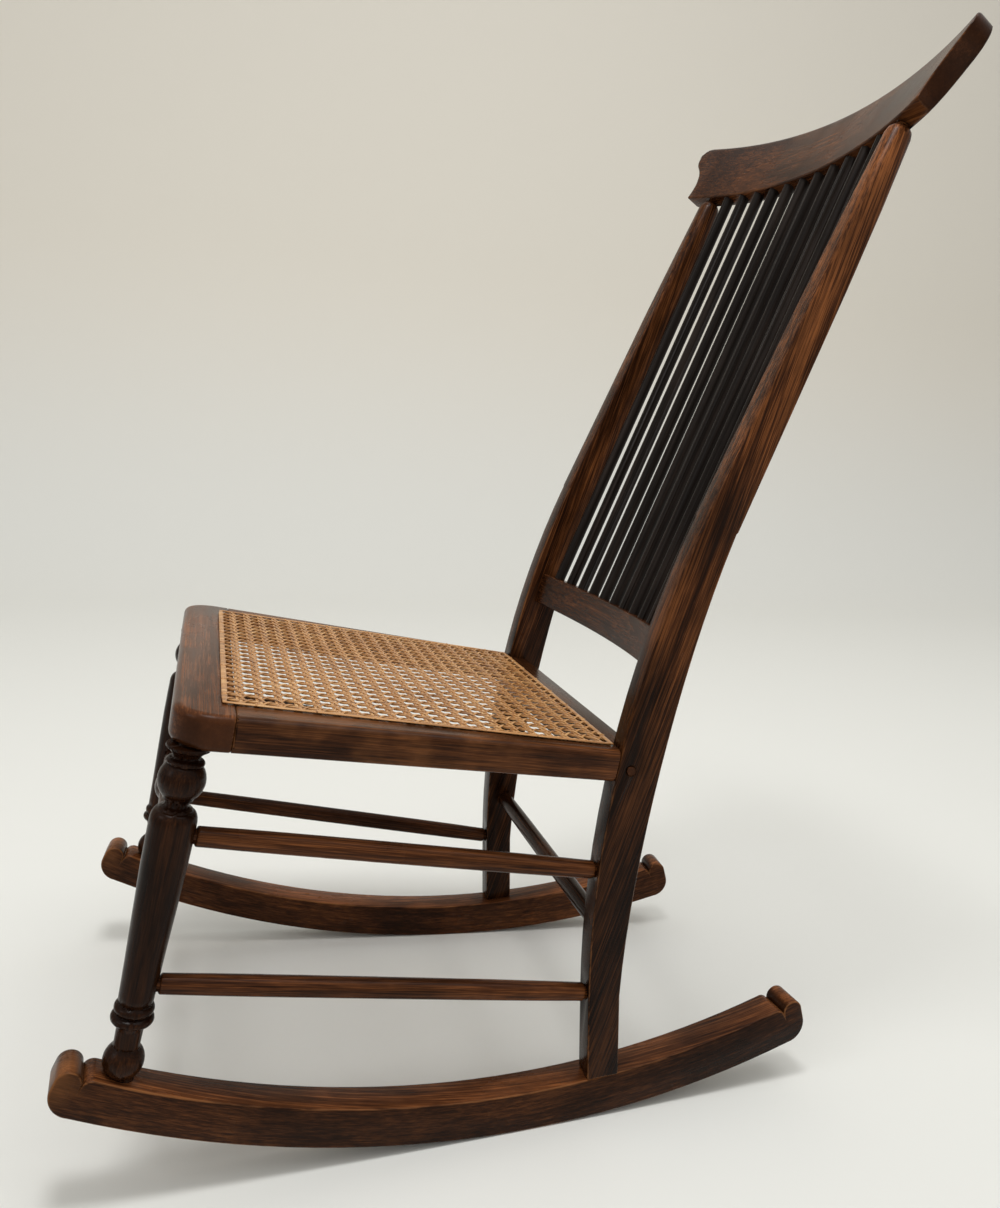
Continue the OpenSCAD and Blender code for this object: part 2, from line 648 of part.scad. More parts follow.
// Cane: the border lies on the frame, the net spans the opening
function cane_outline(grow) = [
    [-hole_x(hole_front_v) - grow, hole_front_v - grow], [hole_x(hole_front_v) + grow, hole_front_v - grow],
    [hole_x(hole_rear_v) + grow, hole_rear_v + grow], [-hole_x(hole_rear_v) - grow, hole_rear_v + grow]
];
net_rows = floor((hole_rear_v - hole_front_v - binder_w) / net_pitch);
net_first = hole_front_v + (hole_rear_v - hole_front_v - (net_rows - 1) * net_pitch) / 2;
function net_half(v) = floor((hole_x(v) - binder_w / 2 - net_gap / 2) / net_pitch);
module cane_panel() {
    placed() color(cane_colour) seat_frame() linear_extrude(cane_t) difference() {
        polygon(cane_outline(binder_w / 2));
        for (row = [0:net_rows - 1])
            let (v = net_first + row * net_pitch)
                for (col = [-net_half(v):net_half(v)])
                    translate([col * net_pitch, v]) rotate(22.5) circle(d = net_gap, $fn = 8);
    }
}
module cane_binder() {
    placed() color(cane_colour) seat_frame() translate([0, 0, cane_t]) linear_extrude(binder_t)
        difference() {
            polygon(cane_outline(binder_w / 2));
            polygon(cane_outline(-binder_w / 2));
        }
}

module peg(c) {
    peg_v = tenon_l / 2 + 3;
    peg_l = peg_proud + tenon_t + 7;
    seat_frame() translate([seat_rear_x + peg_proud, peg_v, -seat_t / 2 - 2]) rotate([0, -90, 0])
        translate([0, 0, -c]) cylinder(h = peg_l + 2 * c, d = peg_d + 2 * c, $fn = round_fn);
}
module seat_pegs() {
    placed() color(dark_wood) for (s = [0, 1]) mirror([s, 0, 0]) peg(0);
}

// Back: a bowed board is a section turned about an axis in front of it
module bowed(half_x) {
    a = asin(half_x / bow_r) + 2;
    translate([0, -bow_r, 0]) rotate([0, 0, 90 - a]) rotate_extrude(angle = 2 * a, $fn = 360)
        translate([bow_r, 0]) children();
}
module lower_back_rail() {
    placed() color(wood) difference() {
        union() {
            intersection() {
                rail_frame() bowed(rail_end_x) translate([0, -back_rail_w])
                    square([back_rail_t, back_rail_w]);
                rotate([90, 0, 0]) translate([0, 0, -far]) linear_extrude(2 * far)
                    polygon([[-post_inner_x(0), 0], [post_inner_x(0), 0], [post_inner_x(far), far],
                        [-post_inner_x(far), far]]);
            }
            for (s = [0, 1]) mirror([s, 0, 0]) back_rail_tenon(0);
        }
        for (i = [0:spindles - 1]) spindle_bore(i);
    }
}
crest_section = concat(
    [[0, 0], [crest_t, 0]],
    arc([crest_t + crest_swell - crest_back_r, crest_w / 2],
        crest_back_r, -asin((crest_w / 2 - 0.5) / crest_back_r), asin((crest_w / 2 - crest_chamfer) / crest_back_r), 8),
    [[crest_top_u, crest_w - 2], [crest_top_u - 2, crest_w]],
    arc([crest_edge_r, crest_w - crest_edge_r], crest_edge_r, 90, 180, 5)
);
// Front view of the crest: each end runs from a lug through a hollow into a rounded ear
crest_trim = 0.3;
module crest_outline() {
    ear = [crest_ear_x - crest_ear_r, crest_w - crest_ear_r - crest_trim];
    hollow_x = crest_lug_x + crest_hollow_r;
    turn_a = acos((hollow_x - ear[0]) / (crest_ear_r + crest_hollow_r));
    hollow = [hollow_x, ear[1] - (crest_ear_r + crest_hollow_r) * sin(turn_a)];
    low_a = asin((hollow[1] + 1) / crest_hollow_r);
    end = concat(arc(ear, crest_ear_r, 90, -turn_a, 18),
        arc(hollow, crest_hollow_r, 180 - turn_a, 180 + low_a, 10));
    polygon(concat([for (p = end) [-p[0], p[1]]], reversed(end)));
}
module crest_rail() {
    placed() color(wood) difference() {
        intersection() {
            crest_frame() bowed(crest_ear_x) polygon(crest_section);
            crest_frame() translate([0, far / 6, 0]) rotate([90, 0, 0]) linear_extrude(far / 3)
                crest_outline();
        }
        for (i = [0:spindles - 1]) spindle_bore(i);
        for (s = [0, 1]) mirror([s, 0, 0]) post_top_tenon(fit);
    }
}

function spindle_low(i) = on_bow(spindle_foot, rail_out, spindle_x(i));
function spindle_high(i) = on_bow(spindle_head, crest_out, spindle_x(i));
spindle_tenon_l = 15;
spindle_end_gap = 2.6;
module spindle_bore(i) {
    p = spindle_low(i);
    q = spindle_high(i);
    bore_l = norm(q - p) + 2 * (spindle_tenon_l + fit);
    along(p, q) translate([0, 0, -spindle_tenon_l - fit])
        cylinder(h = bore_l, d = spindle_tenon_d + 2 * fit, $fn = round_fn);
}
module spindle(i) {
    p = spindle_low(i);
    q = spindle_high(i);
    l = norm(q - p);
    placed() color(dark_wood) along(p, q) {
        translate([0, 0, spindle_end_gap])
            cylinder(h = l - 2 * spindle_end_gap, d = spindle_d, $fn = round_fn);
        translate([0, 0, -spindle_tenon_l])
            cylinder(h = l + 2 * spindle_tenon_l, d = spindle_tenon_d, $fn = round_fn);
    }
}

// Turned front stretcher: a slim rod with rings and bulbs, level between the legs
function front_stretcher_end(s) = let (p = leg_point(front_stretcher_h))
    [s * (p[0] + past_axis), p[1], p[2]];
module front_stretcher() {
    l = 2 * (leg_x + past_axis);
    reach = leg_x - 22;
    n = 72;
    bulb_l = 44;
    slim_d = stretcher_end_d + 2.5;
    bulbs = [-bulb_gap, 0, bulb_gap];
    placed() color(wood) along(front_stretcher_end(-1), front_stretcher_end(1))
        rotate_extrude($fn = round_fn) polygon(concat(
            [[0, 0], [stretcher_end_d / 2, 0], [stretcher_end_d / 2, l / 2 - reach]],
            [for (i = [1:n - 1]) let (t = reach * (2 * i / n - 1),
                    near = min([for (b = bulbs) abs(t - b)]), u = min(1, near / (bulb_l / 2)))
                [slim_d / 2 + (bulb_d - slim_d) / 2 * sqrt(1 - u * u), l / 2 + t]],
            [[stretcher_end_d / 2, l / 2 + reach], [stretcher_end_d / 2, l], [0, l]]));
}
module rear_stretcher() {
    p = rear_stretcher_end(-1);
    q = rear_stretcher_end(1);
    e = stub_l + shoulder_round / 2;
    placed() color(wood) along(p, q) rod(norm(q - p), e, e);
}

on_left() rocker();  // left_rocker
on_right() rocker();  // right_rocker
on_left() front_leg();  // left_front_leg
on_right() front_leg();  // right_front_leg
on_left() back_post();  // left_back_post
on_right() back_post();  // right_back_post
front_seat_rail();
on_left() side_seat_rail();  // left_seat_rail
on_right() side_seat_rail();  // right_seat_rail
rear_seat_rail();
cane_panel();
cane_binder();
seat_pegs();
lower_back_rail();
crest_rail();
spindle(0);  // spindle_1
spindle(1);  // spindle_2
spindle(2);  // spindle_3
spindle(3);  // spindle_4
spindle(4);  // spindle_5
spindle(5);  // spindle_6
spindle(6);  // spindle_7
spindle(7);  // spindle_8
spindle(8);  // spindle_9
spindle(9);  // spindle_10
spindle(10);  // spindle_11
on_left() upper_stretcher();  // left_upper_stretcher
on_right() upper_stretcher();  // right_upper_stretcher
on_left() lower_stretcher();  // left_lower_stretcher
on_right() lower_stretcher();  // right_lower_stretcher
front_stretcher();
rear_stretcher();
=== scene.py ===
"""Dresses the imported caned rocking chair: worn varnished wood, woven cane and a pale studio."""

import math

import bpy
import numpy as np
from mathutils import Euler, Matrix, Vector
from mathutils.bvhtree import BVHTree


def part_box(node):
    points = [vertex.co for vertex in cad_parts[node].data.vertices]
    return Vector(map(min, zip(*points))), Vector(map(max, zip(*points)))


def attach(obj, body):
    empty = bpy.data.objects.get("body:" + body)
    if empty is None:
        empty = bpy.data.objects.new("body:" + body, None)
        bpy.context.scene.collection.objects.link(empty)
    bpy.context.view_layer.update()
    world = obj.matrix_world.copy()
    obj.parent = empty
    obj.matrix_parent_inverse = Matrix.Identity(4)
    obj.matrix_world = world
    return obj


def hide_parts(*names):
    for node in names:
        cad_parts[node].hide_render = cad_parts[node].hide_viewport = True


bl_info = {
    "name": "Caned rocking chair",
    "version": (1, 0, 0),
    "blender": (4, 5, 0),
    "location": "View3D > Sidebar > Chair",
    "description": "Builds the wood and cane of a rocking chair on its packed frame",
    "category": "Object",
}

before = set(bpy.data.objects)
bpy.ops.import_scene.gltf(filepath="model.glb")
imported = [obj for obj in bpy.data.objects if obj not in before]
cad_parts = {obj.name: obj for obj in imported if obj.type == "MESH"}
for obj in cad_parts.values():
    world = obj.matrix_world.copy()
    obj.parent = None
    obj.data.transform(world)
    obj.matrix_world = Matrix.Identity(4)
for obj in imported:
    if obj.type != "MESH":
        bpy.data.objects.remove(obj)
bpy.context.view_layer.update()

# How the chair comes to balance: its rolling radius, how far it rolls, its shift and its lift
ROLL_RADIUS = 0.938
REST_TILT = math.radians(3.7)
SHIFT_Y = 0.0326967
REST_LIFT = 0.000148

# The photograph's viewpoint for the level chair: its place, turn in degrees and frame shift
VIEW_SPOT = (0.983116, -0.313553, 0.659185)
VIEW_TURN = (79.6460, -0.0748, 74.2472)
VIEW_SHIFT = -0.0111

# A copied solid's points are joined within the first and its flat faces within the second
MERGE_REACH = 0.0001
FLAT_ANGLE = math.radians(0.3)

# Sawn edges sharper than the first are worn round, with so many faces across the rounding
SAWN_ANGLE = math.radians(38)
ARRIS_FACES = 3

# Faces that meet at less than these angles look smooth
SAWN_SMOOTH = math.radians(32)
TURNED_SMOOTH = math.radians(30)
CANE_SMOOTH = math.radians(40)

# How much varnish and stain reflect
WOOD_SHINE = 0.09

# Heights between which a tone that is given low down and high up changes, which paints light: the
# piece is painted lighter high up, as if lit more from above
PAINTED_LIGHT_LOW = 0.22
PAINTED_LIGHT_HIGH = 0.6

# Thickness of the cane in the frame, and how near its ends the points of its corners lie
PANEL_THICKNESS = 0.0016
PANEL_END = 0.003

# Half the distance between the strands of a pair, as a share of a strand's width
PAIR_SPREAD = 0.66
# How far beside its crossings a strand of a pair is still at four fifths of its height
PAIR_EASE = 0.0012
# Height of the waves of paired and slanting strands, in thicknesses of a strand
PAIR_SWING = 0.95
SLANT_SWING = 1.7
# Points along one wave of a slanting strand
SLANT_STEPS = 6

# The binding strip: cuts in each side, and its height as a share of its width
STRIP_CUTS = 24
STRIP_FLAT = 0.3
# The ties: holes from one to the next, radius, half length in strip widths, and height
TIE_HOLES = 3
TIE_RADIUS = 0.0011
TIE_REACH = 0.62
TIE_LEVEL = 0.0019

# How far a spindle's full width runs on over its tenons, and the length of a tenon
SHOULDER_SINK = 0.0045
SPINDLE_TENON = 0.015


def rested(point):
    """A point of the level chair, moved with it to where the chair stands in balance."""
    centre = Vector((0, 0, ROLL_RADIUS))
    rolled = Matrix.Rotation(REST_TILT, 3, "X") @ (Vector(point) - centre)
    return rolled + centre + Vector((0, SHIFT_Y, REST_LIFT))


# Settings


class WoodSettings(bpy.types.PropertyGroup):
    """Sizes and colours of the wooden pieces."""

    arris: bpy.props.FloatProperty(
        name="Arris",
        description="Radius to which the sawn edges are worn",
        default=0.0018,
        min=0.0003,
        max=0.004,
        unit="LENGTH",
    )
    wear: bpy.props.FloatProperty(
        name="Wear",
        description="How bare the edges are rubbed",
        default=0.55,
        min=0,
        max=1,
        subtype="FACTOR",
    )
    dark: bpy.props.FloatVectorProperty(
        name="Dark grain",
        description="Colour of the wood's dark grain",
        default=(0.014, 0.0048, 0.0019),
        subtype="COLOR",
    )
    middle: bpy.props.FloatVectorProperty(
        name="Grain",
        description="Colour of most of the wood",
        default=(0.048, 0.0158, 0.0053),
        subtype="COLOR",
    )
    light: bpy.props.FloatVectorProperty(
        name="Light grain",
        description="Colour of the wood's light grain",
        default=(0.145, 0.050, 0.0155),
        subtype="COLOR",
    )
    bare: bpy.props.FloatVectorProperty(
        name="Bare wood",
        description="Colour where the varnish is rubbed off",
        default=(0.31, 0.125, 0.042),
        subtype="COLOR",
    )
    spindle: bpy.props.FloatVectorProperty(
        name="Spindles",
        description="Colour of the dark spindles",
        default=(0.0075, 0.0052, 0.0042),
        subtype="COLOR",
    )


class CaneSettings(bpy.types.PropertyGroup):
    """Sizes and colours of the woven seat."""

    pitch: bpy.props.FloatProperty(
        name="Pitch",
        description="Distance from hole to hole",
        default=0.015875,
        min=0.01,
        max=0.02,
        unit="LENGTH",
    )
    strand: bpy.props.FloatProperty(
        name="Strand",
        description="Width of a strand of cane",
        default=0.0023,
        min=0.0015,
        max=0.0035,
        unit="LENGTH",
    )
    thickness: bpy.props.FloatProperty(
        name="Thickness",
        description="Thickness of a strand",
        default=0.0006,
        min=0.0003,
        max=0.001,
        unit="LENGTH",
    )
    binder: bpy.props.FloatProperty(
        name="Binder",
        description="Width of the binding strip",
        default=0.005,
        min=0.003,
        max=0.006,
        unit="LENGTH",
    )
    golden: bpy.props.FloatVectorProperty(
        name="Cane",
        description="Colour of most of the cane",
        default=(0.47, 0.215, 0.062),
        subtype="COLOR",
    )
    pale: bpy.props.FloatVectorProperty(
        name="Pale cane",
        description="Colour of the palest strands",
        default=(0.66, 0.39, 0.165),
        subtype="COLOR",
    )
    brown: bpy.props.FloatVectorProperty(
        name="Aged cane",
        description="Colour of the darkest strands",
        default=(0.22, 0.09, 0.027),
        subtype="COLOR",
    )


class StageSettings(bpy.types.PropertyGroup):
    """The camera, the lamps and the floor."""

    lens: bpy.props.FloatProperty(
        name="Lens",
        description="Focal length in millimetres",
        default=29.95,
        min=15,
        max=90,
    )
    floor: bpy.props.FloatVectorProperty(
        name="Floor",
        description="Colour of the floor",
        default=(0.82, 0.825, 0.79),
        subtype="COLOR",
    )
    backdrop: bpy.props.FloatVectorProperty(
        name="Backdrop",
        description="Colour of the backdrop",
        default=(0.84, 0.80, 0.72),
        subtype="COLOR",
    )
    lamp: bpy.props.FloatProperty(
        name="Lamp",
        description="Power of the lamp overhead",
        default=19,
        min=0,
        max=200,
        unit="POWER",
    )
    room: bpy.props.FloatProperty(
        name="Room light",
        description="Strength of the light all round",
        default=0.68,
        min=0,
        max=2,
    )


# Shader sums


def plug(slot, value):
    """Links a node's input to a tone, or sets it to a number, a vector or a colour."""
    if isinstance(value, Tone):
        value.tree.links.new(value.socket, slot)
    elif slot.type == "RGBA":
        slot.default_value = (*value, 1)
    else:
        slot.default_value = value


def feed(shader, **values):
    """Links or sets the shader's inputs, whose names are written with _ for a space."""
    for name, value in values.items():
        plug(shader.inputs[name.replace("_", " ")], value)


class Tone:
    """One output of a shader node, on which sums are written as on a number."""

    def __init__(self, tree, socket):
        self.tree = tree
        self.socket = socket

    def node(self, kind, settings=None, values=None, output=0):
        """Adds a node: its settings first, then the values or links of its sockets."""
        made = self.tree.nodes.new(kind)
        for name, value in (settings or {}).items():
            if name == "stops":
                stops = made.color_ramp.elements
                while len(stops) < len(value):
                    stops.new(0.5)
                for stop, (place, colour) in zip(stops, value):
                    stop.position = place
                    stop.color = (*colour, 1)
            else:
                setattr(made, name, value)
        for name, value in (values or {}).items():
            plug(made.inputs[name], value)
        return Tone(self.tree, made.outputs[output])

    def sum(self, operation, first, second=0.0):
        """A Math node on two numbers or tones."""
        return self.node("ShaderNodeMath", {"operation": operation}, {0: first, 1: second})

    def __add__(self, other):
        return self.sum("ADD", self, other)

    def __radd__(self, other):
        return self.sum("ADD", other, self)

    def __sub__(self, other):
        return self.sum("SUBTRACT", self, other)

    def __rsub__(self, other):
        return self.sum("SUBTRACT", other, self)

    def __mul__(self, other):
        return self.sum("MULTIPLY", self, other)

    def __rmul__(self, other):
        return self.sum("MULTIPLY", other, self)

    def __truediv__(self, other):
        return self.sum("DIVIDE", self, other)

    def __pow__(self, other):
        return self.sum("POWER", self, other)

    def step(self, low, high):
        """0 below low, 1 above high and smooth between."""
        return self.node(
            "ShaderNodeMapRange",
            {"interpolation_type": "SMOOTHSTEP"},
            {"Value": self, "From Min": low, "From Max": high},
        )

    def ramp(self, *stops):
        """The colour at this value, between stops that are each a value and a colour."""
        return self.node("ShaderNodeValToRGB", {"stops": stops}, {0: self})

    def mix(self, first, second):
        """From the first colour where this is 0 to the second where it is 1."""
        return self.node(
            "ShaderNodeMix",
            {"data_type": "RGBA"},
            {"Factor": self, 6: first, 7: second},
            2,
        )

    def shaded(self, shade):
        """This colour times a number."""
        return self.node(
            "ShaderNodeMix",
            {"data_type": "RGBA", "blend_type": "MULTIPLY"},
            {"Factor": 1.0, 6: self, 7: shade},
            2,
        )

    def axis(self, number):
        """One coordinate of this vector, counted from 0."""
        return self.node("ShaderNodeSeparateXYZ", {}, {0: self}, number)

    def away_from(self, point):
        """How far this place is from a point."""
        return self.node("ShaderNodeVectorMath", {"operation": "DISTANCE"}, {0: self, 1: point}, 1)

    def noise(self, scales, detail=3, roughness=0.5, distortion=0.0):
        """Noise at this place, with so many cells to the metre along each axis."""
        stretched = self.node("ShaderNodeVectorMath", {"operation": "MULTIPLY"}, {0: self, 1: scales})
        return self.node(
            "ShaderNodeTexNoise",
            {},
            {
                "Vector": stretched,
                "Scale": 1.0,
                "Detail": detail,
                "Roughness": roughness,
                "Distortion": distortion,
            },
        )

    def marked(self, name):
        """The number that mark() wrote on the piece under a name."""
        return self.node("ShaderNodeAttribute", {"attribute_name": name}, output=2)

    def bump(self, strength, depth):
        """The normal of a surface whose height is this."""
        return self.node(
            "ShaderNodeBump", {}, {"Strength": strength, "Distance": depth, "Height": self}
        )


# Finishes


def follow_bend(spot, centre):
    """Places on a piece that is bent about an axis along X: how far round it, how far along
    the axis and how far out."""
    away = spot.node("ShaderNodeVectorMath", {"operation": "SUBTRACT"}, {0: spot, 1: centre})
    x, y, z = (away.axis(number) for number in range(3))
    run = y.sum("ARCTAN2", y, z * -1) * ROLL_RADIUS
    return run.node("ShaderNodeCombineXYZ", {}, {0: run, 1: x, 2: (y * y + z * z) ** 0.5})


def new_finish(name, along, seed=0.0, bent=None):
    """A material, its shader, its place along the grain, and its plain object coordinates.

    X of the place runs along the grain. Bent is the centre of the bend of a piece that is
    curved about an axis along X, and the grain then follows the bend."""
    finish = bpy.data.materials.new(name)
    finish.use_nodes = True
    tree = finish.node_tree
    spot = Tone(tree, None).node("ShaderNodeTexCoord", output=3)
    if bent is None:
        grain = Vector(along).normalized()
        lean = Vector((0.13, 0.21, 1)) if abs(grain.z) < 0.9 else Vector((1, 0.2, 0))
        side = grain.cross(lean).normalized()
        place = spot
        turn = Matrix((grain, side, grain.cross(side)))
    else:
        place = follow_bend(spot, bent)
        turn = Matrix.Identity(3)
    place = place.node(
        "ShaderNodeMapping",
        {},
        {"Vector": place, "Rotation": turn.to_euler(), "Location": (seed, seed * 0.7, seed * 1.3)},
    )
    return finish, tree.nodes["Principled BSDF"], place, spot


def worn_wood(
    name, along, tone=1.0, seed=0.0, rub=1.0, figure=0.8, top=0.0, handled=None, bent=None
):
    """Dark varnished wood with its grain along a direction, rubbed bare at the edges.

    Tone is how light it is, or how light it is low down and high up; the latter is painted
    light, the piece painted lighter high up as if lit more from above. Rub is how much the
    edges are rubbed, figure is how much the grain shows, and top is how much lighter the
    upper faces are, partly dust and partly painted light from above. Handled is the middle
    of a place that hands or feet have rubbed, its reach, and how bare it is."""
    wood = bpy.context.scene.chair_wood
    finish, shader, place, spot = new_finish(name, along, seed, bent)
    worn = place.marked("worn")
    # Painted light: a tone given low down and high up paints the piece lighter higher up, as if lit
    # more from above
    if isinstance(tone, tuple):
        low, high = tone
        tone = spot.axis(2).step(PAINTED_LIGHT_LOW, PAINTED_LIGHT_HIGH) * (high - low) + low

    broad = place.noise((2.5, 45, 45), 3, 0.55, 0.5)
    streak = place.noise((9, 430, 430), 4, 0.65, 0.2)
    pores = place.noise((26, 1500, 1500), 2, 0.6)
    patches = place.noise((9, 17, 17), 4, 0.6)
    grain = (broad * 0.24 + streak * 0.44 + pores * 0.32 - 0.5) * figure + 0.5
    tones = grain.ramp((0.42, wood.dark), (0.5, wood.middle), (0.6, wood.light))

    end_tone = [(dark + middle) / 2 for dark, middle in zip(wood.dark, wood.middle)]
    tones = (place.marked("end_grain").step(0.4, 0.8) * 0.85).mix(tones, end_tone)

    shade = (patches.step(0.32, 0.7) * 0.7 + 0.45) * tone
    # Upper faces painted lighter: partly dust, partly painted light from above
    if top:
        shade = shade * (place.marked("upward").step(0.5, 0.95) * (patches + 0.5) * top + 1)
    tones = tones.shaded(shade)

    rubbed = (worn * rub * (patches * 3.2 + streak * 1.4 - 1.75)).step(0.25, 1.2) * wood.wear
    if handled:
        middle, reach, bare = handled
        near = 1 - (spot.away_from(middle) / reach + (patches - 0.5) * 1.6).step(0.35, 1.0)
        touched = near * (worn * 0.6 + patches.step(0.35, 0.65)) * bare
        rubbed = rubbed.sum("MAXIMUM", rubbed, touched)

    feed(
        shader,
        Base_Color=rubbed.mix(tones, wood.bare),
        Roughness=0.17 + patches * 0.17 + rubbed * 0.15,
        Normal=(pores * 0.5 + streak * 0.5).bump(0.35, 0.0004),
        Specular_IOR_Level=WOOD_SHINE,
    )
    return finish


def dark_stain(name, along, seed):
    """Nearly black stained wood with a soft shine."""
    wood = bpy.context.scene.chair_wood
    finish, shader, place, _ = new_finish(name, along, seed)
    streak = place.noise((7, 320, 320), 4, 0.6)
    patches = place.noise((9, 30, 30), 3, 0.6)
    rubbed = [channel * 3.2 for channel in wood.spindle]
    feed(
        shader,
        Base_Color=(streak * 0.6 + patches * 0.4).step(0.42, 0.72).mix(wood.spindle, rubbed),
        Roughness=0.28 + patches * 0.14,
        Normal=streak.bump(0.2, 0.0003),
        Specular_IOR_Level=WOOD_SHINE,
    )
    return finish


def aged_cane(name, along, seed):
    """Golden rattan peel, each strand a little different, with fine lines along it."""
    cane = bpy.context.scene.chair_cane
    finish, shader, place, _ = new_finish(name, along, seed)
    strands = place.noise((9, 330, 3), 2, 0.5)
    lines = place.noise((30, 2600, 60), 2, 0.6)
    stains = place.noise((14, 14, 14), 3, 0.6)
    mixed = strands * 0.55 + lines * 0.25 + stains * 0.2
    feed(
        shader,
        Base_Color=mixed.ramp((0.39, cane.brown), (0.5, cane.golden), (0.64, cane.pale)),
        Roughness=0.34 + stains * 0.2,
        Normal=lines.bump(0.2, 0.0002),
        Coat_Weight=0.25,
        Coat_Roughness=0.2,
    )
    return finish


# Making pieces


def only(piece):
    """Leaves one object selected and active, in object mode."""
    if bpy.context.object and bpy.context.object.mode != "OBJECT":
        bpy.ops.object.mode_set(mode="OBJECT")
    bpy.ops.object.select_all(action="DESELECT")
    piece.hide_viewport = False
    piece.select_set(True)
    bpy.context.view_layer.objects.active = piece


def smooth(piece, angle):
    """Shades a piece smooth where its faces meet at less than an angle."""
    only(piece)
    bpy.ops.object.shade_smooth_by_angle(angle=angle)


def apply_modifier(piece, name, kind, **settings):
    """Adds a modifier to a piece, sets it and applies it."""
    only(piece)
    modifier = piece.modifiers.new(name, kind)
    for setting, value in settings.items():
        setattr(modifier, setting, value)
    bpy.ops.object.modifier_apply(modifier=modifier.name)


def settle(piece, finish, slot, *nodes):
    """Gives a finished piece its material, and puts it in the place of its CAD nodes."""
    piece.data.materials.clear()
    piece.data.materials.append(finish)
    for face in piece.data.polygons:
        face.material_index = 0
    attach(piece, "root")
    if nodes:
        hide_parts(*nodes)


def solid_copy(node, name):
    """A copy of a CAD node's mesh with its loose triangles joined into clean faces."""
    piece = bpy.data.objects.new(name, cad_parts[node].data.copy())
    bpy.context.scene.collection.objects.link(piece)
    only(piece)
    bpy.ops.object.mode_set(mode="EDIT")
    bpy.ops.mesh.select_all(action="SELECT")
    bpy.ops.mesh.remove_doubles(threshold=MERGE_REACH)
    bpy.ops.mesh.dissolve_limited(angle_limit=FLAT_ANGLE)
    bpy.ops.object.mode_set(mode="OBJECT")
    return piece


def mark(piece, name, values):
    """Writes a number for each vertex, which the finish reads."""
    numbers = piece.data.attributes.new(name, "FLOAT", "POINT").data
    numbers.foreach_set("value", np.array(values, np.float32))


def mark_ends(piece, along):
    """Marks where the surface cuts across the grain."""
    grain = Vector(along).normalized()
    mark(piece, "end_grain", [abs(n.vector.dot(grain)) for n in piece.data.vertex_normals])


def ease_edges(piece, radius):
    """Rounds the sawn edges, marks the rounding as worn, and shades the rest smooth."""
    mesh = piece.data
    corners = [v.co.copy() for v in mesh.vertices]
    skin = BVHTree.FromPolygons(corners, [list(face.vertices) for face in mesh.polygons])
    stand_ins = [bpy.data.materials.new(part) for part in ("flat", "edge")]
    mesh.materials.clear()
    for stand_in in stand_ins:
        mesh.materials.append(stand_in)
    for face in mesh.polygons:
        face.material_index = 0
    apply_modifier(
        piece,
        "Arris",
        "BEVEL",
        width=radius,
        segments=ARRIS_FACES,
        limit_method="ANGLE",
        angle_limit=SAWN_ANGLE,
        use_clamp_overlap=False,
        material=1,
    )
    press_inside(mesh, skin)
    flat = set()
    for face in mesh.polygons:
        if face.material_index == 0:
            flat.update(face.vertices)
    mark(piece, "worn", [0.0 if i in flat else 1.0 for i in range(len(mesh.vertices))])
    mesh.materials.clear()
    for stand_in in stand_ins:
        bpy.data.materials.remove(stand_in)
    smooth(piece, SAWN_SMOOTH)


def press_inside(mesh, skin):
    """Moves points that the rounding pushed out of the solid back onto its surface."""
    tolerance = 1e-6
    for v in mesh.vertices:
        spot, outward, _, _ = skin.find_nearest(v.co)
        if (v.co - spot).dot(outward) > tolerance:
            v.co = spot


def sawn(node, name, along, **look):
    """A sawn piece: its CAD solid with eased edges and worn varnish."""
    piece = solid_copy(node, name)
    ease_edges(piece, bpy.context.scene.chair_wood.arris)
    mark_ends(piece, along)
    mark(piece, "upward", [max(n.vector.z, 0) for n in piece.data.vertex_normals])
    settle(piece, worn_wood(name + "_finish", along, **look), "frame_wood", node)


def turned(node, name, along, finish_of=worn_wood, slot="frame_wood", **look):
    """A turned piece: its CAD solid, shaded smooth round its axis."""
    piece = solid_copy(node, name)
    mark(piece, "worn", [0.0] * len(piece.data.vertices))
    mark_ends(piece, along)
    smooth(piece, TURNED_SMOOTH)
    settle(piece, finish_of(name + "_finish", along, **look), slot, node)
    return piece


def middle_line(node):
    """Direction of a node's longest extent, from its vertices."""
    points = np.array([v.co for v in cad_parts[node].data.vertices])
    points = points - points.mean(0)
    return Vector(np.linalg.svd(points, full_matrices=False)[2][0])


# The seat's weave


def seat_plane():
    """The cane's underside: its middle, its turn about X, its half width in front and
    behind, and half its depth."""
    rounds = 6
    low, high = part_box("cane_panel")
    deep = high.y - low.y
    tall = high.z - low.z
    turn = math.atan2(tall, deep)
    for _ in range(rounds):
        turn = math.atan2(
            tall - PANEL_THICKNESS * math.cos(turn), deep - PANEL_THICKNESS * math.sin(turn)
        )
    depth = (deep - PANEL_THICKNESS * math.sin(turn)) / math.cos(turn)
    points = [v.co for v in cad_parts["cane_panel"].data.vertices]
    front = max(p.x for p in points if p.y < low.y + PANEL_END)
    rear = max(p.x for p in points if p.y > high.y - PANEL_END)
    up = Vector((0, math.sin(turn), math.cos(turn)))
    middle = (low + high) / 2 - up * PANEL_THICKNESS / 2
    return middle, -turn, front, rear, depth / 2


class CaneLayout:
    """The line of holes, flat about its middle, and how a flat point goes to the seat."""

    def __init__(self, binder):
        middle, turn, front, rear, half = seat_plane()
        self.half = half - binder / 2
        self.front = front - binder / 2
        self.rear = rear - binder / 2
        self.place = Matrix.Translation(middle) @ Matrix.Rotation(turn, 4, "X")

    def sides(self):
        """The four sides of the line of holes, each as its two ends."""
        corners = [
            (-self.front, -self.half),
            (self.front, -self.half),
            (self.rear, self.half),
            (-self.rear, self.half),
        ]
        return list(zip(corners, corners[1:] + corners[:1]))


